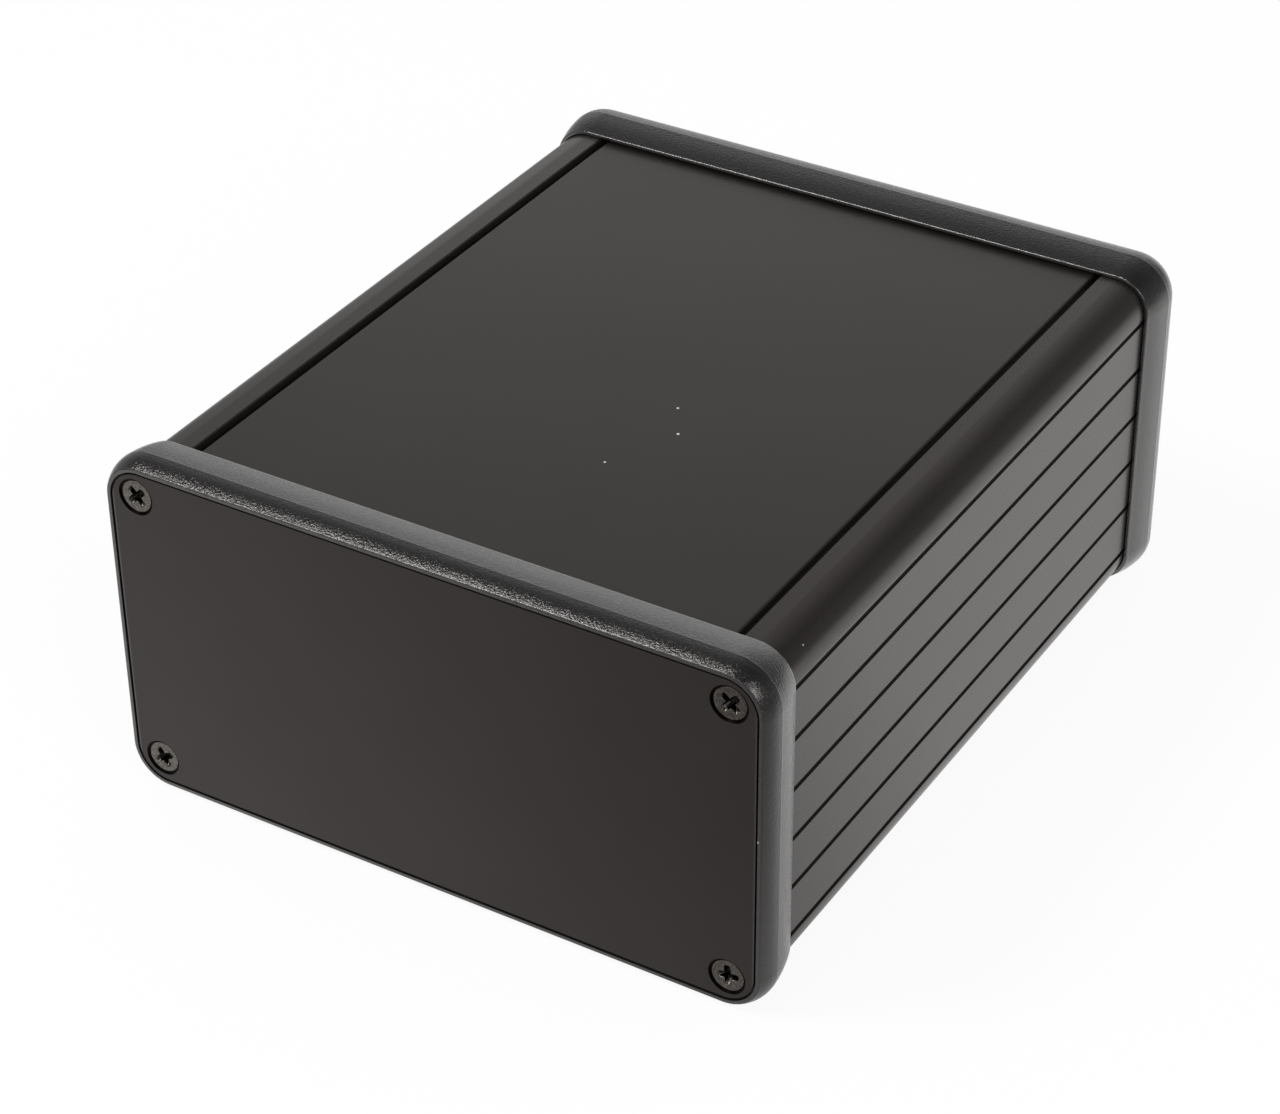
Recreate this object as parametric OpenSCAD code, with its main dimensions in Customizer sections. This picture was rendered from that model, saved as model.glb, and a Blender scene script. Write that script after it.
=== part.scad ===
// Extruded aluminium enclosure for electronics: a grooved extrusion with a slide-in cover,
// a moulded bezel and a screwed-on panel at each end.
// X is the width, Y the length with the front panel at -Y, Z is up from the surface it stands on.

/* [Extrusion] */
// Outside width of the extrusion
body_w = 103; // [90:1:160]
// Outside height of the extrusion
body_h = 53; // [44:1:90]
// Length of the extrusion
body_len = 120; // [60:1:240]
// Radius of its four long outer corners
body_corner_r = 5; // [4:0.25:6]
// Thickness of the side walls
wall_t = 1.4; // [1.2:0.1:2]
// Thickness of the floor
floor_t = 1.8; // [1.4:0.1:3]

/* [Side grooves] */
// Distance between neighbouring grooves
groove_pitch = 8.25; // [5:0.25:12]
// Width of a groove
groove_w = 0.9; // [0.5:0.1:1.2]
// Depth of a groove
groove_depth = 0.6; // [0.5:0.05:0.8]

/* [Board slots] */
// Number of board slots in each side wall
slot_count = 3; // [1:1:3]
// Distance between neighbouring board slots
slot_pitch = 11; // [7:0.5:12]
// Thickness of the board that a slot takes
board_t = 1.6; // [1:0.1:2]
// Clearance over the board's thickness in its slot
board_clear = 0.2; // [0.1:0.05:0.4]
// Thickness of a rib beside a slot
rib_t = 1.2; // [0.8:0.1:1.6]
// How far a rib stands in from the side wall
rib_reach = 1.6; // [1:0.1:3]

/* [Screw ports] */
// Distance of a screw's axis from the side of the extrusion
port_from_side = 4.3; // [4:0.1:5.5]
// Distance of a screw's axis from the top or bottom of the extrusion
port_from_top = 3.9; // [3.8:0.1:4.5]
// Outer radius of a screw port
port_r = 3.2; // [2.8:0.1:3.4]
// Width of the slit that opens a port to the inside
port_slit_w = 1; // [0.6:0.1:1.6]

/* [Cover] */
// Distance of the cover's upper edge from the side of the extrusion
cover_edge_in = 8.6; // [8:0.1:10]
// Thickness of the cover between its edges
cover_t = 2; // [1.8:0.1:3]
// How far the cover's face lies below the shoulders
cover_drop = 0.3; // [0.2:0.05:0.5]
// Radius of the cover's upper edges
cover_edge_r = 0.35; // [0.2:0.05:0.6]
// Width of the visible groove between the cover and a shoulder
cover_groove_w = 1.1; // [0.8:0.1:1.6]
// Thickness of the tongue at each edge of the cover
tongue_t = 1; // [0.6:0.1:1.2]
// How far a tongue reaches out from the cover's upper edge
tongue_reach = 2.1; // [1.9:0.1:2.4]
// Thickness of the ledge under a tongue
ledge_t = 1.4; // [1:0.1:2]
// How far a ledge reaches in past the cover's upper edge
ledge_reach = 0.1; // [0:0.1:2]
// Clearance above and beside a tongue
rail_clear = 0.15; // [0.1:0.05:0.25]
// Bevel on the shoulders' inner edges
shoulder_bevel = 0.2; // [0.1:0.05:0.4]

/* [Bezels] */
// How far the parting ridge stands out from the extrusion
bezel_proud = 1.7; // [1.3:0.1:2.4]
// Distance of the parting ridge behind the extrusion's end
ridge_back = 0.1; // [0:0.1:1]
// Width of the flat land on the parting ridge
ridge_land = 0.4; // [0.3:0.1:0.8]
// How far the skirt reaches over the extrusion
skirt_len = 5.7; // [4:0.1:10]
// How far the skirt's rim stands out from the extrusion
rim_proud = 0.7; // [0.5:0.05:0.9]
// Radius of the rim's outer edge
rim_edge_r = 0.25; // [0.1:0.05:0.4]
// Tilt of the skirt's curved slope where it leaves the ridge
slope_tilt = 4; // [0:0.5:6]
// How far the lip stands out from the extrusion
lip_proud = 0.85; // [0.6:0.05:1]
// Radius of the lip's outer edge
lip_edge_r = 0.3; // [0.2:0.05:0.4]
// How far the lip stands above the panel's face
lip_rise = 0.1; // [0:0.05:0.4]
// Clearance between the skirt and the extrusion
skirt_clear = 0.15; // [0.1:0.05:0.2]
// Thickness of the web between the panel and the extrusion
web_t = 1.4; // [1:0.1:2]
// Width of the web inside the skirt
web_w = 3; // [2:0.1:4]
// Radius of the web's pad round a screw
pad_r = 4; // [3.4:0.1:4.2]

/* [End panels] */
// Thickness of a panel
panel_t = 1.5; // [1.4:0.1:2.5]
// Gap between a panel's edge and the bezel's lip
panel_gap = 0.35; // [0.2:0.05:0.5]

/* [Screws] */
// Length of a screw with its head
screw_len = 10; // [8:0.5:14]
// Diameter of the shank
shank_d = 2.6; // [2.4:0.1:2.8]
// Diameter of the head
head_d = 5; // [4.8:0.1:5.5]
// Height of the straight edge of the head
head_land = 0.15; // [0.1:0.05:0.2]
// Diameter of the countersink at the panel's face
countersink_d = 5.8; // [5.7:0.1:6]
// Clearance round the shank in the panel and the web
shank_clear = 0.35; // [0.2:0.05:0.4]
// Clearance round the shank in its port
port_clear = 0.08; // [0.05:0.01:0.12]
// Width of the cross recess from tip to tip
recess_w = 3; // [2.6:0.1:3.2]
// Width of one arm of the recess
recess_arm = 0.8; // [0.6:0.05:0.9]
// Depth of the recess
recess_depth = 1.4; // [1:0.1:1.6]
// Turn of the recess in the upper left screw
turn_upper_left = 42; // [0:1:90]
// Turn of the recess in the upper right screw
turn_upper_right = 48; // [0:1:90]
// Turn of the recess in the lower left screw
turn_lower_left = 30; // [0:1:90]
// Turn of the recess in the lower right screw
turn_lower_right = 4; // [0:1:90]

/* [Hidden] */

$fn = 64;
eps = 0.01;

aluminium = "#3c3a39";
plastic = "#2b2b2c";
screw_steel = "#5a4c40";

// The middle of the extrusion's end faces, above the surface that the bezels stand on
mid_z = body_h / 2 + bezel_proud;

// Heights in the extrusion's cross section, measured from its middle
cover_top = body_h / 2 - cover_drop;
ledge_top = cover_top - cover_t;
channel_top = ledge_top + tongue_t + rail_clear;
floor_top = -body_h / 2 + floor_t;

// Half widths in the cross section
inner_half_w = body_w / 2 - wall_t;
cover_half_w = body_w / 2 - cover_edge_in;
tongue_half_w = cover_half_w + tongue_reach;
opening_half_w = cover_half_w + cover_groove_w;
ledge_half_w = cover_half_w - ledge_reach;

// Grooves and board slots, spread evenly about the middle
groove_count = floor((body_h - 2 * body_corner_r) / groove_pitch) + 1;
slot_w = board_t + board_clear;

// Axes of the screws
screw_x = body_w / 2 - port_from_side;
screw_z = body_h / 2 - port_from_top;
shank_r = shank_d / 2;
port_bore_r = shank_r + port_clear;
hole_r = shank_r + shank_clear;
head_r = head_d / 2;
countersink_r = countersink_d / 2;

// Bezel wall, measured from the centre of an outer corner of the extrusion
corner_x = body_w / 2 - body_corner_r;
corner_z = body_h / 2 - body_corner_r;
wall_in_r = body_corner_r + skirt_clear;
wall_out_r = body_corner_r + bezel_proud;
panel_top = web_t + panel_t;
lip_top = panel_top + lip_rise;
panel_corner_r = wall_in_r - panel_gap;
// How far the web runs into the skirt to be one piece with it
web_root = 0.2;

// Height of the head's top below the panel's face
head_drop = countersink_r - head_r - head_land;

function spread(i, n, pitch) = (i - (n - 1) / 2) * pitch;

// Rectangle with rounded corners, centred
module rounded_rect(w, h, r) {
    square([w - 2 * r, h], center = true);
    square([w, h - 2 * r], center = true);
    for (x = [-1, 1], y = [-1, 1])
        translate([x * (w / 2 - r), y * (h / 2 - r)])
            circle(r);
}

// Its children, once at each screw's axis
module at_screws() {
    for (x = [-1, 1], z = [-1, 1])
        translate([x * screw_x, z * screw_z])
            children();
}

// Both sides of the cross section, from its right half
module both_sides() {
    for (side = [0, 1])
        mirror([side, 0])
            children();
}

// ---- extrusion ----

// Round-bottomed groove in the right side wall
module side_groove() {
    groove_r = groove_w / 2;
    bottom_x = body_w / 2 - groove_depth + groove_r;
    translate([bottom_x, 0])
        circle(groove_r);
    translate([bottom_x, -groove_r])
        square([groove_depth + eps, groove_w]);
}

// Two ribs on the right side wall with a board slot between them
module slot_ribs() {
    for (up = [-1, 1])
        translate([inner_half_w - rib_reach, up * (slot_w + rib_t) / 2 - rib_t / 2])
            square([rib_reach + eps, rib_t]);
}

// Space inside the walls, open at the top for the cover
module inside_outline() {
    translate([-inner_half_w, floor_top])
        square([2 * inner_half_w, ledge_top - ledge_t - floor_top]);
    translate([-ledge_half_w, floor_top])
        square([2 * ledge_half_w, body_h]);
    translate([-opening_half_w, ledge_top])
        square([2 * opening_half_w, body_h]);
}

// Channel under the right shoulder for the cover's tongue, and the bevel of the shoulder
module cover_channel() {
    translate([0, ledge_top])
        square([tongue_half_w + rail_clear, channel_top - ledge_top]);
    translate([opening_half_w, body_h / 2])
        polygon([
            [-eps, -shoulder_bevel], [0, -shoulder_bevel],
            [shoulder_bevel, 0], [shoulder_bevel, eps], [-eps, eps]
        ]);
}

// Slit that opens a port to the inside, towards the middle height
module port_slits() {
    for (z = [-1, 1])
        translate([screw_x - port_slit_w / 2, z > 0 ? screw_z - port_r - eps : -screw_z])
            square([port_slit_w, port_r + eps]);
}

module body_section() {
    difference() {
        union() {
            difference() {
                rounded_rect(body_w, body_h, body_corner_r);
                inside_outline();
            }
            at_screws()
                circle(port_r);
            both_sides()
                for (i = [0 : slot_count - 1])
                    translate([0, spread(i, slot_count, slot_pitch)])
                        slot_ribs();
        }
        both_sides() {
            for (i = [0 : groove_count - 1])
                translate([0, spread(i, groove_count, groove_pitch)])
                    side_groove();
            cover_channel();
            port_slits();
        }
        at_screws()
            circle(port_bore_r);
    }
}

// A cross section drawn as seen from the front, made as long as the extrusion
module along_body() {
    translate([0, 0, mid_z])
        rotate([90, 0, 0])
            linear_extrude(body_len, center = true)
                children();
}

module body_extrusion() {
    color(aluminium)
        along_body()
            body_section();
}

module cover_plate() {
    color(aluminium)
        along_body() {
            translate([0, (cover_top + ledge_top) / 2])
                rounded_rect(2 * cover_half_w, cover_t, cover_edge_r);
            translate([-tongue_half_w, ledge_top])
                square([2 * tongue_half_w, tongue_t]);
        }
}

// ---- ends, drawn with the extrusion's end face at height 0 and the outside upwards ----

// At the front end; the rear end is the same, turned half round
module at_end(turn) {
    rotate([0, 0, turn])
        translate([0, -body_len / 2, mid_z])
            rotate([90, 0, 0])
                children();
}

// Half of the bezel wall's section, from the ridge at y = 0 to its end at y = reach. It is a band
// on an arc that leaves the ridge at this tilt and runs into the round edge at the end.
module band_half(reach, end_proud, tilt, edge_r) {
    ridge = [wall_out_r, 0];
    edge = [body_corner_r + end_proud - edge_r, reach - edge_r];
    normal = [cos(tilt), sin(tilt)];
    // the edge's circle touches the arc from inside
    band_r = ((ridge - edge) * (ridge - edge) - pow(edge_r, 2)) / (2 * ((ridge - edge) * normal - edge_r));
    centre = ridge - band_r * normal;
    outwards = (edge - centre) / (band_r - edge_r);
    past_edge = 2 * edge_r;
    intersection() {
        translate([wall_in_r, 0])
            square([wall_out_r, reach]);
        union() {
            difference() {
                translate(centre)
                    circle(band_r, $fn = 360);
                translate(edge)
                    polygon([[0, 0], past_edge * outwards, [past_edge, past_edge], [0, past_edge]]);
            }
            translate(edge)
                circle(edge_r);
        }
    }
}

// Cross section of the bezel's wall: x from the corner's centre, y ahead of the extrusion's end
module bezel_wall_section() {
    skirt_y = -ridge_back - ridge_land;
    translate([0, -ridge_back])
        band_half(lip_top + ridge_back, lip_proud, 0, lip_edge_r);
    translate([wall_in_r, skirt_y])
        square([wall_out_r - wall_in_r, ridge_land]);
    translate([0, skirt_y])
        mirror([0, 1])
            band_half(skirt_len + skirt_y, rim_proud, slope_tilt, rim_edge_r);
}

// The wall's section carried round the four sides and corners
module bezel_wall() {
    for (k = [0 : 3]) {
        on_side = k % 2 == 0;
        rotate([0, 0, 90 * k])
            translate([on_side ? corner_x : corner_z, 0, 0])
                rotate([90, 0, 0])
                    linear_extrude(2 * (on_side ? corner_z : corner_x), center = true)
                        bezel_wall_section();
        rotate([0, 0, 90 * k])
            translate(on_side ? [corner_x, corner_z, 0] : [corner_z, corner_x, 0])
                rotate_extrude(angle = 90)
                    bezel_wall_section();
    }
}

// Flat web that the panel lies on, with a pad and a hole at each screw
module bezel_web() {
    root = 2 * (skirt_clear + web_root);
    linear_extrude(web_t)
        difference() {
            rounded_rect(body_w + root, body_h + root, body_corner_r + root / 2);
            difference() {
                square([body_w - 2 * web_w, body_h - 2 * web_w], center = true);
                at_screws()
                    circle(pad_r);
            }
            at_screws()
                circle(hole_r);
        }
}

module bezel(turn) {
    color(plastic)
        at_end(turn) {
            bezel_wall();
            bezel_web();
        }
}

module end_panel(turn) {
    color(aluminium)
        at_end(turn)
            translate([0, 0, web_t])
                difference() {
                    linear_extrude(panel_t)
                        rounded_rect(2 * (corner_x + panel_corner_r), 2 * (corner_z + panel_corner_r),
                                     panel_corner_r);
                    at_screws() {
                        translate([0, 0, -eps])
                            cylinder(r = hole_r, h = panel_t + 2 * eps);
                        translate([0, 0, panel_t - countersink_r + hole_r])
                            cylinder(r1 = hole_r, r2 = countersink_r + eps, h = countersink_r - hole_r + eps);
                    }
                }
}

// Cross recess, its mouth at height 0
module cross_recess(turn) {
    rotate([0, 0, turn])
        intersection() {
            translate([0, 0, -recess_depth])
                cylinder(r1 = recess_arm / 2, r2 = recess_w / 2, h = recess_depth + eps);
            union() {
                for (a = [0, 90])
                    rotate([0, 0, a])
                        translate([0, 0, -recess_depth / 2])
                            cube([recess_w, recess_arm, recess_depth + 2 * eps], center = true);
                translate([0, 0, -recess_depth])
                    cylinder(r1 = recess_arm / 2, r2 = recess_arm, h = recess_depth + eps);
            }
        }
}

// Countersunk screw, the top of its head at height 0
module screw_shape(turn) {
    tip = shank_r / 2;
    difference() {
        union() {
            translate([0, 0, -head_land])
                cylinder(r = head_r, h = head_land);
            translate([0, 0, -head_land - head_r + shank_r])
                cylinder(r1 = shank_r, r2 = head_r, h = head_r - shank_r);
            translate([0, 0, -screw_len + tip])
                cylinder(r = shank_r, h = screw_len - tip - head_land);
            translate([0, 0, -screw_len])
                cylinder(r1 = shank_r - tip, r2 = shank_r, h = tip);
        }
        cross_recess(turn);
    }
}

module end_screw(end_turn, x, z, recess_turn) {
    color(screw_steel)
        at_end(end_turn)
            translate([x * screw_x, z * screw_z, panel_top - head_drop])
                screw_shape(recess_turn);
}

body_extrusion();
cover_plate();
bezel(0);  // front_bezel
bezel(180);  // rear_bezel
end_panel(0);  // front_panel
end_panel(180);  // rear_panel
end_screw(0, -1, 1, turn_upper_left);  // front_screw_upper_left
end_screw(0, 1, 1, turn_upper_right);  // front_screw_upper_right
end_screw(0, -1, -1, turn_lower_left);  // front_screw_lower_left
end_screw(0, 1, -1, turn_lower_right);  // front_screw_lower_right
end_screw(180, 1, 1, turn_lower_right);  // rear_screw_upper_left
end_screw(180, -1, 1, turn_lower_left);  // rear_screw_upper_right
end_screw(180, 1, -1, turn_upper_left);  // rear_screw_lower_left
end_screw(180, -1, -1, turn_upper_right);  // rear_screw_lower_right
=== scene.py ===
# %% [markdown]
# # An extruded aluminium enclosure
# The case is a black anodised extrusion with a slide-in cover. A moulded bezel and a flat
# panel close each end, and four countersunk screws hold each panel. The solids of all these
# pieces come from the CAD model. This lesson gives them their finishes, makes the screws
# with their recess and thread, and lights the case with soft studio light.

# %% Load the solids
import math
import bpy
import numpy as np
from mathutils import Matrix, Vector


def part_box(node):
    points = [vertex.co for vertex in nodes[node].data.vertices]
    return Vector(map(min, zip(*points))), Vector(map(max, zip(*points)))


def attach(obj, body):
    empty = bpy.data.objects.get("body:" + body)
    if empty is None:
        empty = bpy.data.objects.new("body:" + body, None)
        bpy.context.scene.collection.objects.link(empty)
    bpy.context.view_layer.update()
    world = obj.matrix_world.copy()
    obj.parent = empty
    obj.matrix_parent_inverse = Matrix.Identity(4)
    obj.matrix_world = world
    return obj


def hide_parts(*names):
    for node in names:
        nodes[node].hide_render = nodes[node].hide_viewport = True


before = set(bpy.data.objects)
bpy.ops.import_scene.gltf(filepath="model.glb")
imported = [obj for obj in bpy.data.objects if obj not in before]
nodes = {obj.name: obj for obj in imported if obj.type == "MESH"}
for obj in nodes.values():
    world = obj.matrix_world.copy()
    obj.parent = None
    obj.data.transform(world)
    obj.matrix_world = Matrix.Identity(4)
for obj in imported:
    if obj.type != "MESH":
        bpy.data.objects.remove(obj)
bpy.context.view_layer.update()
mm = 0.001


case_lo, case_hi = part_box("body_extrusion")
case_centre = (case_lo + case_hi) / 2

# %% [markdown]
# ## Helpers for node graphs
# A finish in Blender is a graph of nodes. Some effects, such as a fine grain, are needed in
# several finishes, so each of them is a node group with its own sockets: it is built once
# and used with other values in each material. These helpers keep the graphs short to write.

# %% Node helpers
def add(tree, kind, x, y, **settings):
    """Adds a node of this kind to the graph and sets its properties."""
    node = tree.nodes.new(kind)
    node.location = (x, y)
    for name, value in settings.items():
        setattr(node, name, value)
    return node


def math_node(tree, operation, a, b, x, y, clamp=False):
    """A Math node with both inputs given, each a socket to link or a number to keep."""
    node = add(tree, "ShaderNodeMath", x, y, operation=operation, use_clamp=clamp)
    for socket, given in zip(node.inputs, (a, b)):
        if isinstance(given, (int, float)):
            socket.default_value = given
        else:
            tree.links.new(given, socket)
    return node.outputs[0]


def band(tree, value, start, end, low, high, x, y):
    """Low where the value is below start, high where it is above end, and a straight ramp
    from low to high between the two."""
    node = add(tree, "ShaderNodeMapRange", x, y)
    tree.links.new(value, node.inputs["Value"])
    for socket, given in zip(("From Min", "From Max", "To Min", "To Max"), (start, end, low, high)):
        node.inputs[socket].default_value = given
    return node.outputs["Result"]


def object_axis(tree, axis, x, y):
    """One of the object's own coordinates."""
    place = add(tree, "ShaderNodeTexCoord", x, y)
    parts = add(tree, "ShaderNodeSeparateXYZ", x + 200, y)
    tree.links.new(place.outputs["Object"], parts.inputs[0])
    return parts.outputs[axis]


def blend(tree, factor, a, b, x, y):
    """A colour between a and b, each a socket to link or a colour to keep."""
    mix = add(tree, "ShaderNodeMix", x, y, data_type="RGBA")
    tree.links.new(factor, mix.inputs["Factor"])
    for socket, given in zip((mix.inputs["A"], mix.inputs["B"]), (a, b)):
        if isinstance(given, tuple):
            socket.default_value = (*given, 1)
        else:
            tree.links.new(given, socket)
    return mix.outputs["Result"]


def bumped(tree, height, strength, distance, shader, y):
    """Links a bump of this height, strength and distance to the shader."""
    bump = add(tree, "ShaderNodeBump", -300, y)
    bump.inputs["Strength"].default_value = strength
    bump.inputs["Distance"].default_value = distance
    tree.links.new(height, bump.inputs["Height"])
    tree.links.new(bump.outputs[0], shader.inputs["Normal"])


def new_group(name, inputs, outputs):
    """An empty node group with these input sockets, given with their defaults, and outputs."""
    group = bpy.data.node_groups.new(name, "ShaderNodeTree")
    for socket, default in inputs.items():
        kind = "NodeSocketFloat" if isinstance(default, (int, float)) else "NodeSocketVector"
        made = group.interface.new_socket(name=socket, in_out="INPUT", socket_type=kind)
        made.default_value = default
    for socket in outputs:
        group.interface.new_socket(name=socket, in_out="OUTPUT", socket_type="NodeSocketFloat")
    return group, add(group, "NodeGroupInput", -900, 0), add(group, "NodeGroupOutput", 700, 0)


def use_group(tree, group, x, y, **values):
    """Places a node group in a graph with its own values. An underscore stands for a space."""
    node = add(tree, "ShaderNodeGroup", x, y)
    node.node_tree = group
    for name, value in values.items():
        node.inputs[name.replace("_", " ")].default_value = value
    return node


def new_material(name):
    """A material, with its graph and its Principled BSDF."""
    material = bpy.data.materials.new(name)
    material.use_nodes = True
    return material, material.node_tree, material.node_tree.nodes["Principled BSDF"]


def put_on(finish, *names):
    """Gives the finish to these CAD nodes."""
    for name in names:
        nodes[name].data.materials.clear()
        nodes[name].data.materials.append(finish)
    print(finish.name, "is on", len(names), "solids")


# %% [markdown]
# ## Grain
# Anodising and moulded plastic both have a fine random texture, one from the etching bath
# and the other from the mould. It could be modelled as bumps in the mesh, but a tenth of a
# millimetre is far too small for that. A noise texture in the object's own coordinates
# gives the same look from any distance.

# %% Grain group
def grain_group():
    """Noise with this many grains to the millimetre, as a height from 0 to 1."""
    group, given, out = new_group("grain", {"Grains per mm": 5.0, "Sharpness": 1.0}, ["Height"])
    place = add(group, "ShaderNodeTexCoord", -900, -200)
    per_m = math_node(group, "DIVIDE", given.outputs["Grains per mm"], mm, -700, 100)
    scaled = add(group, "ShaderNodeVectorMath", -500, 0, operation="SCALE")
    group.links.new(place.outputs["Object"], scaled.inputs[0])
    group.links.new(per_m, scaled.inputs["Scale"])
    noise = add(group, "ShaderNodeTexNoise", -300, 0)
    noise.inputs["Scale"].default_value = 1
    noise.inputs["Detail"].default_value = 2
    noise.inputs["Roughness"].default_value = 0.6
    group.links.new(scaled.outputs[0], noise.inputs["Vector"])
    centred = math_node(group, "SUBTRACT", noise.outputs["Fac"], 0.5, -100, 0)
    steeper = math_node(group, "MULTIPLY", centred, given.outputs["Sharpness"], 100, 0)
    height = math_node(group, "ADD", steeper, 0.5, 300, 0, clamp=True)
    group.links.new(height, out.inputs["Height"])
    return group


grain = grain_group()
print("group", grain.name, "with", len(grain.nodes), "nodes")

# %% [markdown]
# ## Die lines
# Aluminium that is pushed through a die keeps faint straight lines along its length, and
# they still show a little under the anodising. The same noise does for them, when it is
# drawn out a few hundred times along Y.

# %% Die line group
def die_line_group():
    """Noise that changes fast across the extrusion and slowly along Y, from 0 to 1."""
    group, given, out = new_group("die_lines", {"Lines per mm": 3.0, "Stretch": 200.0}, ["Tone"])
    place = add(group, "ShaderNodeTexCoord", -900, -200)
    across = math_node(group, "DIVIDE", given.outputs["Lines per mm"], mm, -700, 100)
    along = math_node(group, "DIVIDE", across, given.outputs["Stretch"], -500, 200)
    scale = add(group, "ShaderNodeCombineXYZ", -300, 100)
    for socket, value in zip(scale.inputs, (across, along, across)):
        group.links.new(value, socket)
    scaled = add(group, "ShaderNodeVectorMath", -100, 0, operation="MULTIPLY")
    group.links.new(place.outputs["Object"], scaled.inputs[0])
    group.links.new(scale.outputs[0], scaled.inputs[1])
    noise = add(group, "ShaderNodeTexNoise", 100, 0)
    noise.inputs["Scale"].default_value = 1
    noise.inputs["Detail"].default_value = 3
    group.links.new(scaled.outputs[0], noise.inputs["Vector"])
    group.links.new(noise.outputs["Fac"], out.inputs["Tone"])
    return group


die_lines = die_line_group()
print("group", die_lines.name, "with", len(die_lines.nodes), "nodes")

# %% [markdown]
# ## Dust
# A few white specks lie on the case, as on any black thing on a bench. Each is a small
# round mask about a chosen place, and the group puts out 1 on the speck and 0 elsewhere.

# %% Dust speck group
def dust_group():
    """A round mask: 1 within Size of Place, and 0 beyond it."""
    group, given, out = new_group("dust_speck", {"Place": (0, 0, 0), "Size": 0.15 * mm}, ["Mask"])
    place = add(group, "ShaderNodeTexCoord", -900, -200)
    away = add(group, "ShaderNodeVectorMath", -500, 0, operation="DISTANCE")
    group.links.new(place.outputs["Object"], away.inputs[0])
    group.links.new(given.outputs["Place"], away.inputs[1])
    mask = math_node(group, "LESS_THAN", away.outputs["Value"], given.outputs["Size"], -300, 0)
    group.links.new(mask, out.inputs["Mask"])
    return group


dust_speck = dust_group()
cover_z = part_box("cover_plate")[1].z
dust_places = [
    (8.4 * mm, -9.9 * mm, cover_z, 0.2 * mm),
    (11.9 * mm, -15.8 * mm, cover_z, 0.22 * mm),
    (6.9 * mm, -27.2 * mm, cover_z, 0.18 * mm),
    (50.4 * mm, -49.4 * mm, cover_z - 1.5 * mm, 0.13 * mm),
    (51.6 * mm, -63 * mm, cover_z - 24 * mm, 0.2 * mm),
]


def dusty(tree, colour):
    """The colour with the specks over it, as one socket."""
    dust = (0.6, 0.6, 0.58)
    for k, (x, y, z, size) in enumerate(dust_places):
        speck = use_group(tree, dust_speck, -500, -600 - 200 * k, Place=(x, y, z), Size=size)
        colour = blend(tree, speck.outputs["Mask"], colour, dust, -300, -600 - 200 * k)
    return colour


print("dust specks:", len(dust_places))

# %% [markdown]
# ## Rubbed lines
# Edges that hands and neighbours rub are shinier than the faces beside them. They are too
# narrow to need a mesh of their own: each is a band at a fixed distance from the middle of
# the case, along X for the long edges beside the cover and along Y round a bezel.

# %% Rubbed line groups
def line_group(name, axis):
    """A line on both sides of the middle at this distance along an axis: 1 on the line,
    fading to 0 at Width from it."""
    group, given, out = new_group(name, {"Distance": 50 * mm, "Width": 0.2 * mm}, ["Mask"])
    along = math_node(group, "ABSOLUTE", object_axis(group, axis, -900, -200), 0, -500, -200)
    apart = math_node(group, "SUBTRACT", along, given.outputs["Distance"], -300, -100)
    apart = math_node(group, "ABSOLUTE", apart, 0, -100, -100)
    share = math_node(group, "DIVIDE", apart, given.outputs["Width"], 100, 0)
    mask = math_node(group, "SUBTRACT", 1, share, 300, 0, clamp=True)
    group.links.new(mask, out.inputs["Mask"])
    return group


line_along = line_group("line_along", "X")
line_round = line_group("line_round", "Y")
print("groups", line_along.name, "and", line_round.name)

# %% [markdown]
# ## Black anodising
# Anodising is a hard clear layer of oxide, dyed black through its pores. It hides the metal,
# so the finish is a dark dielectric and not a metal: a near black base and a satin gloss
# that grows towards grazing angles. Die lines and a slow cloudiness change its tone and
# gloss a little, and a very fine grain breaks up its reflections.

# %% Anodised finish
def anodised(name, dark, light, gloss, shine, lines, edge):
    """Satin anodising between two close colours, with gloss as its mean roughness, shine as its
    specular level, lines as the strength of its die lines, and a rubbed edge at this distance
    from the middle. The roughness is gloss plus what lines and grains add about their mean."""
    material, tree, shader = new_material(name)
    shader.inputs["Specular IOR Level"].default_value = shine
    shader.inputs["Specular Tint"].default_value = (1, 0.91, 0.87, 1)
    streaks = use_group(tree, die_lines, -1100, 300)
    cloud = use_group(tree, grain, -1100, 0, Grains_per_mm=0.05, Sharpness=1.6)
    fine = use_group(tree, grain, -1100, -300, Grains_per_mm=7, Sharpness=1.5)
    tone = blend(tree, cloud.outputs["Height"], dark, light, -700, 200)
    tree.links.new(dusty(tree, tone), shader.inputs["Base Color"])
    rubbed = use_group(tree, line_along, -500, 500, Distance=edge, Width=0.22 * mm)
    tree.links.new(rubbed.outputs["Mask"], shader.inputs["Coat Weight"])
    grains = 0.06
    streak_part = math_node(tree, "MULTIPLY", streaks.outputs["Tone"], lines, -900, 300)
    grain_part = math_node(tree, "MULTIPLY", fine.outputs["Height"], grains, -900, -150)
    varied = math_node(tree, "ADD", streak_part, grain_part, -700, 0)
    rough = math_node(tree, "ADD", varied, gloss - lines / 2 - grains / 2, -500, 0)
    tree.links.new(rough, shader.inputs["Roughness"])
    bumped(tree, fine.outputs["Height"], 0.35, 0.006 * mm, shader, -300)
    return material


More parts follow.
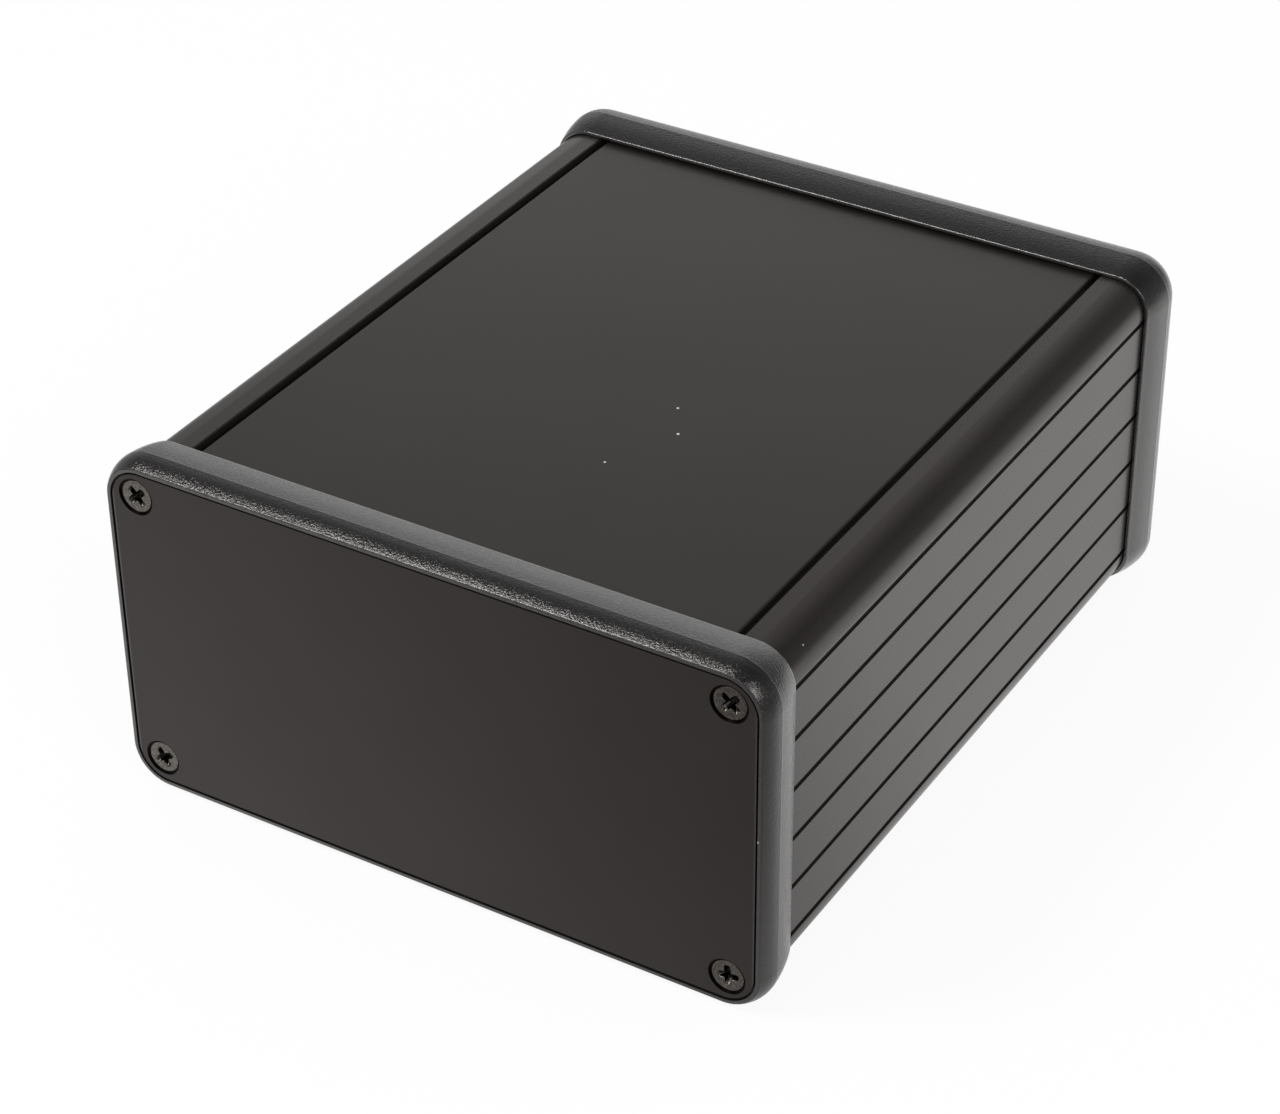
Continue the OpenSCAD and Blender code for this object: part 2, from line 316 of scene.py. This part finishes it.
body_tones = ((0.012, 0.0102, 0.0096), (0.0145, 0.0125, 0.0118))
panel_tones = ((0.0125, 0.0103, 0.0092), (0.0155, 0.0128, 0.0114))
opening_edge = case_hi.x - 7.4 * mm
cover_edge = case_hi.x - 8.7 * mm
panel_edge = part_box("front_panel")[1].x - 0.1 * mm
extrusion_black = anodised(
    "extrusion_black", *body_tones, gloss=0.27, shine=0.7, lines=0.015, edge=opening_edge
)
cover_black = anodised(
    "cover_black", *body_tones, gloss=0.3, shine=0.54, lines=0.015, edge=cover_edge
)
panel_black = anodised(
    "panel_black", *panel_tones, gloss=0.4, shine=0.36, lines=0.01, edge=panel_edge
)
put_on(extrusion_black, "body_extrusion")
put_on(cover_black, "cover_plate")
put_on(panel_black, "front_panel", "rear_panel")

# %% [markdown]
# ## Countersinks
# A screw's head sits a little below the panel's face, in a countersink that is wider than
# the head, so a narrow ring of the countersink's wall shows round it. On a real case that ring
# is in shade and looks nearly black. With the panel's own finish it comes out as grey as the
# face, so that shade is painted: the colour goes near black and the finish goes over to dark metal
# there.

# %% Painted countersink shade
countersink_r = 2.9 * mm


def paint_countersink_shade(material):
    """Painted shade: near black colour and dark metal within the countersink's radius of each
    screw's axis. The distance from an axis is the length of the steps to it in X and in Z, the same in
    all four corners."""
    tree = material.node_tree
    shader = next(node for node in tree.nodes if node.type == "BSDF_PRINCIPLED")
    panel_lo, panel_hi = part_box("front_panel")
    screw_lo, screw_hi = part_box("front_screw_upper_right")
    middle_z = (panel_lo.z + panel_hi.z) / 2
    screw_x = abs(screw_lo.x + screw_hi.x) / 2
    screw_z = abs((screw_lo.z + screw_hi.z) / 2 - middle_z)
    aside = math_node(tree, "ABSOLUTE", object_axis(tree, "X", -2300, 1000), 0, -1900, 1000)
    aside = math_node(tree, "SUBTRACT", aside, screw_x, -1700, 1000)
    above = math_node(tree, "SUBTRACT", object_axis(tree, "Z", -2300, 800), middle_z, -1900, 800)
    above = math_node(tree, "ABSOLUTE", above, 0, -1700, 800)
    above = math_node(tree, "SUBTRACT", above, screw_z, -1500, 800)
    away = add(tree, "ShaderNodeCombineXYZ", -1300, 900)
    tree.links.new(aside, away.inputs["X"])
    tree.links.new(above, away.inputs["Z"])
    distance = add(tree, "ShaderNodeVectorMath", -1100, 900, operation="LENGTH")
    tree.links.new(away.outputs[0], distance.inputs[0])
    edge_start, edge_end = countersink_r - 0.06 * mm, countersink_r + 0.02 * mm
    painted_shade_ring = band(tree, distance.outputs["Value"], edge_start, edge_end, 1, 0, -900, 900)
    colour = shader.inputs["Base Color"].links[0].from_socket
    # painted shade: the panel's colour goes near black in the ring round each screw, standing in for
    # the shaded countersink wall
    shade = blend(tree, painted_shade_ring, colour, (0.004, 0.0036, 0.0034), -100, 700)
    tree.links.new(shade, shader.inputs["Base Color"])
    tree.links.new(painted_shade_ring, shader.inputs["Metallic"])


paint_countersink_shade(panel_black)

# %% [markdown]
# ## Moulded plastic
# The bezels are moulded in black plastic with a leather-like grain, which sparkles where a
# lamp glances off it. A line runs round each bezel's ridge, where the two halves of the
# mould met. Both are bumps here: the grain is noise, and the line is a low ridge at the
# distance along Y where the solid has its own ridge. The rim behind it is the thin edge that
# hands rub, so it is shinier, and so is the line. A clear coat along them stands for that.

# %% Bezel finish
ridge_y = -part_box("front_bezel")[0].y - 3.3 * mm
rim_y = ridge_y - 5.3 * mm


def grained_plastic():
    """Black plastic with a moulded grain and a parting line at the ridge. The bump's height is
    the coarse grain plus a share of the fine one and the line. The coat is thin everywhere
    and full where the bezel is rubbed."""
    material, tree, shader = new_material("bezel_black")
    shader.inputs["Specular IOR Level"].default_value = 0.85
    shader.inputs["Specular Tint"].default_value = (1, 0.96, 0.94, 1)
    shader.inputs["Coat Roughness"].default_value = 0.12
    coarse = use_group(tree, grain, -1100, 200, Grains_per_mm=3.2, Sharpness=3.5)
    fine = use_group(tree, grain, -1100, -100, Grains_per_mm=8, Sharpness=1.5)
    parting = use_group(tree, line_round, -1100, -400, Distance=ridge_y, Width=0.18 * mm)
    rim = use_group(tree, line_round, -1100, -700, Distance=rim_y, Width=0.35 * mm)
    dark, light = (0.0105, 0.0102, 0.0102), (0.0135, 0.0131, 0.013)
    tone = blend(tree, coarse.outputs["Height"], dark, light, -700, 500)
    tree.links.new(dusty(tree, tone), shader.inputs["Base Color"])
    smoothest, spread = 0.1, 0.1
    rough = math_node(tree, "MULTIPLY", fine.outputs["Height"], spread, -700, 200)
    rough = math_node(tree, "ADD", rough, smoothest, -500, 200)
    tree.links.new(rough, shader.inputs["Roughness"])
    rubbed = math_node(tree, "MAXIMUM", parting.outputs["Mask"], rim.outputs["Mask"], -700, -500)
    thin_coat = 0.3
    rubbed = math_node(tree, "MULTIPLY", rubbed, 1 - thin_coat, -500, -500)
    gloss = math_node(tree, "ADD", rubbed, thin_coat, -300, -500)
    tree.links.new(gloss, shader.inputs["Coat Weight"])
    fine_share, line_share = 0.3, 1.6
    small = math_node(tree, "MULTIPLY", fine.outputs["Height"], fine_share, -700, 0)
    height = math_node(tree, "ADD", coarse.outputs["Height"], small, -500, 0)
    line = math_node(tree, "MULTIPLY", parting.outputs["Mask"], line_share, -700, -200)
    height = math_node(tree, "ADD", height, line, -500, -200)
    bumped(tree, height, 0.9, 0.03 * mm, shader, 0)
    return material


bezel_black = grained_plastic()
put_on(bezel_black, "front_bezel", "rear_bezel")

# %% [markdown]
# ## Bronzed steel
# Each panel is held by four small countersunk screws of bronzed steel with a cross recess.
# Bronzing leaves a thin brown skin that is a little mottled. Little light gets down into the
# recess, so its shade is painted: the steel's colour goes darker there, below the face of the head.

# %% Bronzed steel
head_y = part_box("rear_screw_upper_left")[1].y


def bronzed_steel():
    """Dark bronzed steel, a little mottled, with painted shade making it darker down in the recess."""
    material, tree, shader = new_material("screw_bronze")
    shader.inputs["Metallic"].default_value = 1
    mottle = use_group(tree, grain, -900, 200, Grains_per_mm=4, Sharpness=2)
    dark, light = (0.05, 0.045, 0.041), (0.2, 0.181, 0.162)
    tone = blend(tree, mottle.outputs["Height"], dark, light, -500, 200)
    along = math_node(tree, "ABSOLUTE", object_axis(tree, "Y", -1300, 500), 0, -900, 500)
    open_part = band(tree, along, head_y - 0.5 * mm, head_y - 0.12 * mm, 0, 1, -700, 500)
    # painted shade: a darker colour down in the recess, below the face of the head
    recess = (0.02, 0.018, 0.016)
    tree.links.new(blend(tree, open_part, recess, tone, -300, 300), shader.inputs["Base Color"])
    smoothest, spread = 0.16, 0.15
    rough = math_node(tree, "MULTIPLY", mottle.outputs["Height"], spread, -700, 0)
    rough = math_node(tree, "ADD", rough, smoothest, -500, 0)
    tree.links.new(rough, shader.inputs["Roughness"])
    bumped(tree, mottle.outputs["Height"], 0.4, 0.01 * mm, shader, -200)
    return material


screw_bronze = bronzed_steel()

# %% [markdown]
# ## Screw surface
# A real screw is headed, its recess is punched and its thread is rolled. Here one surface
# does it all: rings of points run from the bottom of the recess out over the head, down the
# cone and along the thread to the tip. The sizes are in millimetres, and heights run up from
# the top of the head, so most of them are below zero.

# %% Screw surface
around = np.linspace(0, 2 * np.pi, 96, endpoint=False)
head_r = 2.5
head_land = 0.15
recess_r = 1.72
recess_half_arm = 0.52
recess_depth = 1.42
crest_r = 1.36
root_r = 1.08
pitch = 0.5
neck_h = -1.35
tip_h = -9.6
point_h = -10


def all_round(value):
    """The same distance or height at every point of a ring."""
    return np.full_like(around, value)


def cross_outline(tip, half_arm, turn):
    """Distance from the axis to the edge of a cross, at each angle round it. On an arm's side
    it is the half width over the sine of the angle from the arm, at its end it is the tip's
    distance, and a soft minimum of the two rounds the corners."""
    from_arm = (around - turn + np.pi / 4) % (np.pi / 2) - np.pi / 4
    side = half_arm / np.maximum(np.abs(np.sin(from_arm)), 1e-3)
    sharpness = 8
    return (tip ** -sharpness + side ** -sharpness) ** (-1 / sharpness)


def recess_rings(turn):
    """Rings from the bottom of the recess to just past its edge: (distance, height) pairs.
    The cross narrows with depth, its tips much faster than the sides of its arms."""
    rings = [(all_round(0.2), all_round(-recess_depth))]
    for depth in (1.4, 1.05, 0.7, 0.35, 0.05):
        tip = recess_r - 0.8 * depth
        half_arm = recess_half_arm - 0.05 * depth
        rings.append((cross_outline(tip, half_arm, turn), all_round(-depth)))
    rings.append((cross_outline(recess_r + 0.03, recess_half_arm + 0.03, turn), all_round(0)))
    return rings


def head_rings(turn):
    """Rings over the head: from the recess to a circle, over the rounded edge, down the cone."""
    mouth = cross_outline(recess_r + 0.06, recess_half_arm + 0.06, turn)
    edge_r = 0.1
    flat_r = head_r - edge_r
    rings = [(mouth + (flat_r - mouth) * t, all_round(0)) for t in (0, 0.3, 0.65, 1)]
    for tilt in np.radians((22, 45, 67, 90)):
        r = flat_r + edge_r * np.sin(tilt)
        drop = edge_r * (1 - np.cos(tilt))
        rings.append((all_round(r), all_round(-drop)))
    rings.append((all_round(head_r), all_round(-head_land)))
    for r in (2.1, 1.7, crest_r):
        rings.append((all_round(r), all_round(-head_land - (head_r - r))))
    return rings


def thread_rings():
    """Rings down the thread: the distance from the axis rises and falls between root and crest
    with the height plus the turn, in a rounded triangle wave, and shrinks towards the tip."""
    heights = np.arange(neck_h, tip_h, -pitch / 8)
    z, a = np.meshgrid(heights, around, indexing="ij")
    wave = np.abs(((z / pitch - a / (2 * np.pi)) % 1) * 2 - 1)
    r = root_r + (crest_r - root_r) * np.clip(wave * 1.4 - 0.2, 0, 1)
    taper_length, run_in = 1.2, 0.4
    taper = np.clip((z - point_h) / taper_length, 0.3, 1)
    start = np.clip((neck_h - z) / run_in, 0, 1)
    r = (crest_r + (r - crest_r) * start) * taper
    return list(zip(r, z))


def screw_mesh(name, turn, origin, right, out):
    """One closed surface through all the rings, with a pole at each end, set on its axis."""
    rings = recess_rings(turn) + head_rings(turn) + thread_rings()
    r = np.array([ring[0] for ring in rings])
    h = np.array([ring[1] for ring in rings])
    local = np.stack([r * np.cos(around), r * np.sin(around), h], axis=-1).reshape(-1, 3)
    poles = np.array([[0, 0, -recess_depth - 0.03], [0, 0, h[-1, 0] - 0.2]])
    local = np.concatenate([local, poles]) * mm
    up = np.array((0, 0, 1.0))
    places = np.array(origin) + local @ np.stack([right, up, out])
    count, turns = r.shape
    index = np.arange(count * turns).reshape(count, turns)
    after = np.roll(index, -1, axis=1)
    quads = np.stack([index[:-1], index[1:], after[1:], after[:-1]], axis=-1).reshape(-1, 4)
    top, tip = count * turns, count * turns + 1
    first = np.stack([np.full(turns, top), index[0], after[0]], axis=-1)
    last = np.stack([np.full(turns, tip), after[-1], index[-1]], axis=-1)
    mesh = bpy.data.meshes.new(name)
    mesh.from_pydata(places.tolist(), [], quads.tolist() + first.tolist() + last.tolist())
    mesh.polygons.foreach_set("use_smooth", np.ones(len(mesh.polygons), bool))
    mesh.update()
    return mesh


# %% [markdown]
# The eight screws were driven home one by one, so each cross stands at its own angle. A
# screw's axis and the top of its head come from the box of its solid.

# %% Eight screws
turns = dict(front_upper_left=42, front_upper_right=48, front_lower_left=30, front_lower_right=4)
turns.update(rear_upper_left=4, rear_upper_right=30, rear_lower_left=42, rear_lower_right=48)


def make_screw(place, degrees):
    """A detailed screw in the place of the plain solid of that name."""
    end, row, side = place.split("_")
    node = f"{end}_screw_{row}_{side}"
    lo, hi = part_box(node)
    front = end == "front"
    origin = ((lo.x + hi.x) / 2, lo.y if front else hi.y, (lo.z + hi.z) / 2)
    right = np.array((1.0, 0, 0)) if front else np.array((-1.0, 0, 0))
    out = np.array((0, -1.0, 0)) if front else np.array((0, 1.0, 0))
    mesh = screw_mesh(node + "_detailed", math.radians(degrees), origin, right, out)
    mesh.materials.append(screw_bronze)
    screw = bpy.data.objects.new(mesh.name, mesh)
    bpy.context.scene.collection.objects.link(screw)
    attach(screw, "root")
    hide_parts(node)
    return len(mesh.polygons)


faces = [make_screw(place, degrees) for place, degrees in turns.items()]
print("screws:", len(faces), "faces each:", faces[0])

# %% [markdown]
# ## Camera
# The camera looks down on a front corner from about half a metre, with a short telephoto
# lens. Its place is given by two angles and a distance, because these are easy to picture,
# and the small shifts to the side and up frame the case.

# %% Camera
azimuth = math.radians(31.351)
elevation = math.radians(34.122)
roll = math.radians(-0.483)
distance = 512.976 * mm
shift_right = -3.512 * mm
shift_up = -6.489 * mm

level_part = math.cos(elevation)
back = Vector((math.sin(azimuth) * level_part, -math.cos(azimuth) * level_part, math.sin(elevation)))
right = Vector((math.cos(azimuth), math.sin(azimuth), 0))
up = back.cross(right)
camera_data = bpy.data.cameras.new("camera")
camera_data.sensor_width = 36
camera_data.lens = 97.083
camera_data.clip_start = 0.01
camera = bpy.data.objects.new("camera", camera_data)
bpy.context.scene.collection.objects.link(camera)
x_axis = right * math.cos(roll) + up * math.sin(roll)
y_axis = up * math.cos(roll) - right * math.sin(roll)
turned = Matrix((x_axis, y_axis, back)).transposed().to_4x4()
place = case_centre + back * distance + right * shift_right + up * shift_up
camera.matrix_world = Matrix.Translation(place) @ turned
bpy.context.scene.camera = camera
print("camera at, in mm:", [round(v / mm) for v in camera.matrix_world.translation])

# %% [markdown]
# ## Room
# A black satin case shows little but what it reflects, so the room matters more than the
# lamps. It is white low down and darker overhead, on the right and far to the left, and the
# case's satin top shows that change. Only reflections see these tones: the camera sees plain
# white, and the room's own light on the case is even and white.

# %% Room
def seen_directly(tree, x, y):
    """1 for rays from the camera and for reflections and refractions, and 0 for the others."""
    path = add(tree, "ShaderNodeLightPath", x, y)
    camera_ray, glossy_ray = path.outputs["Is Camera Ray"], path.outputs["Is Glossy Ray"]
    seen = math_node(tree, "MAXIMUM", camera_ray, glossy_ray, x + 200, y)
    return math_node(tree, "MAXIMUM", seen, path.outputs["Is Transmission Ray"], x + 400, y)


def white_room():
    """A white world. Its reflections are white low down, grey overhead, and darker on the right
    and far to the left: the tone at a height times the tone of each side."""
    world = bpy.data.worlds.new("white_room")
    bpy.context.scene.world = world
    world.use_nodes = True
    tree = world.node_tree
    background = tree.nodes["Background"]
    place = add(tree, "ShaderNodeTexCoord", -900, 0)
    parts = add(tree, "ShaderNodeSeparateXYZ", -700, 0)
    tree.links.new(place.outputs["Generated"], parts.inputs[0])
    ramp = add(tree, "ShaderNodeValToRGB", -400, 200)
    tones = ((0.3, 1.0), (0.42, 0.85), (0.5, 0.52), (0.57, 0.38), (0.68, 0.36), (0.8, 0.16), (1.0, 0.1))
    while len(ramp.color_ramp.elements) < len(tones):
        ramp.color_ramp.elements.new(0.5)
    for element, (position, tone) in zip(ramp.color_ramp.elements, tones):
        element.position = position
        element.color = (tone, tone, tone, 1)
    tree.links.new(parts.outputs["Z"], ramp.inputs[0])
    right_side = band(tree, parts.outputs["X"], -0.08, 0.35, 1.0, 0.2, -400, 0)
    left_side = band(tree, parts.outputs["X"], -0.75, -0.55, 0.35, 1.0, -400, -200)
    sides = math_node(tree, "MULTIPLY", right_side, left_side, -200, 0)
    both = add(tree, "ShaderNodeVectorMath", 0, 200, operation="SCALE")
    tree.links.new(ramp.outputs[0], both.inputs[0])
    tree.links.new(sides, both.inputs["Scale"])
    path = add(tree, "ShaderNodeLightPath", -300, -100)
    shown = blend(tree, path.outputs["Is Glossy Ray"], (1, 1, 1), both.outputs[0], 200, 200)
    tree.links.new(shown, background.inputs["Color"])
    lit_by = 0.6
    seen = seen_directly(tree, -900, -300)
    soft = math_node(tree, "MULTIPLY", seen, 1 - lit_by, -300, -300)
    strength = math_node(tree, "ADD", soft, lit_by, -100, -300)
    tree.links.new(strength, background.inputs["Strength"])


white_room()

# %% [markdown]
# ## Floor
# The case stands on white paper. Most of what the camera sees of it is a plain white of its
# own, so it runs into the room without an edge, and only a soft shadow shows at the case.

# %% Floor
def white_floor():
    """White paper, mixed with a plain white glow for what sees it directly. In reflections the
    glow carries painted shade: it is greyer in front of the case and far to its sides, one tone times
    the next."""
    material, tree, shader = new_material("white_paper")
    shader.inputs["Base Color"].default_value = (0.93, 0.93, 0.93, 1)
    shader.inputs["Roughness"].default_value = 0.9
    shader.inputs["Specular IOR Level"].default_value = 0.1
    plain = add(tree, "ShaderNodeEmission", -200, -300)
    aside = object_axis(tree, "X", -1500, -300)
    leaning = math_node(tree, "MULTIPLY", aside, -0.8, -1100, -300)
    behind = math_node(tree, "ADD", object_axis(tree, "Y", -1500, -600), leaning, -900, -300)
    # painted shade, seen only in reflections: the glow greys in front of the case
    front_painted_shade = band(tree, behind, -0.15, -0.04, 0.25, 1.0, -700, -300)
    far_right = band(tree, aside, 0.15, 0.5, 1.0, 0.35, -700, -600)
    far_left = band(tree, aside, -0.25, -0.12, 0.35, 1.0, -700, -900)
    tone = math_node(tree, "MULTIPLY", front_painted_shade, far_right, -500, -300)
    tone = math_node(tree, "MULTIPLY", tone, far_left, -500, -600)
    path = add(tree, "ShaderNodeLightPath", -700, -600)
    shown = blend(tree, path.outputs["Is Glossy Ray"], (1, 1, 1), tone, -400, -300)
    tree.links.new(shown, plain.inputs["Color"])
    plain_share = 0.92
    part = math_node(tree, "MULTIPLY", seen_directly(tree, -900, 300), plain_share, -200, 300)
    mix = add(tree, "ShaderNodeMixShader", 300, 0)
    tree.links.new(part, mix.inputs[0])
    tree.links.new(shader.outputs[0], mix.inputs[1])
    tree.links.new(plain.outputs[0], mix.inputs[2])
    tree.links.new(mix.outputs[0], tree.nodes["Material Output"].inputs["Surface"])
    half = 3.0
    mesh = bpy.data.meshes.new("floor")
    outline = [(-half, -half, 0), (half, -half, 0), (half, half, 0), (-half, half, 0)]
    mesh.from_pydata(outline, [], [(0, 1, 2, 3)])
    mesh.materials.append(material)
    floor = bpy.data.objects.new("floor", mesh)
    bpy.context.scene.collection.objects.link(floor)


white_floor()

# %% [markdown]
# ## Lamps
# One soft lamp hangs over the front and glances off the bezels' grain. A weaker one on the
# right lights the round edge and the grooved side.

# %% Lamps
def soft_lamp(name, towards, away, size, power):
    """A square lamp in this direction from the case, turned to face it."""
    data = bpy.data.lights.new(name, "AREA")
    data.shape = "SQUARE"
    data.size = size
    data.energy = power
    lamp = bpy.data.objects.new(name, data)
    bpy.context.scene.collection.objects.link(lamp)
    direction = Vector(towards).normalized()
    lamp.location = case_centre + direction * away
    lamp.rotation_euler = direction.to_track_quat("Z", "Y").to_euler()
    print(name, "at, in mm:", [round(v / mm) for v in lamp.location])


soft_lamp("lamp_over_front", (-0.43, -0.45, 0.86), away=1.3, size=0.42, power=7.5)
soft_lamp("lamp_right", (0.75, -0.4, 0.55), away=1.3, size=0.5, power=4)

# %% [markdown]
# ## Colour management
# The standard view shows the tones as they are worked out, so the paper stays white.

# %% Colour management
bpy.context.scene.view_settings.view_transform = "Standard"
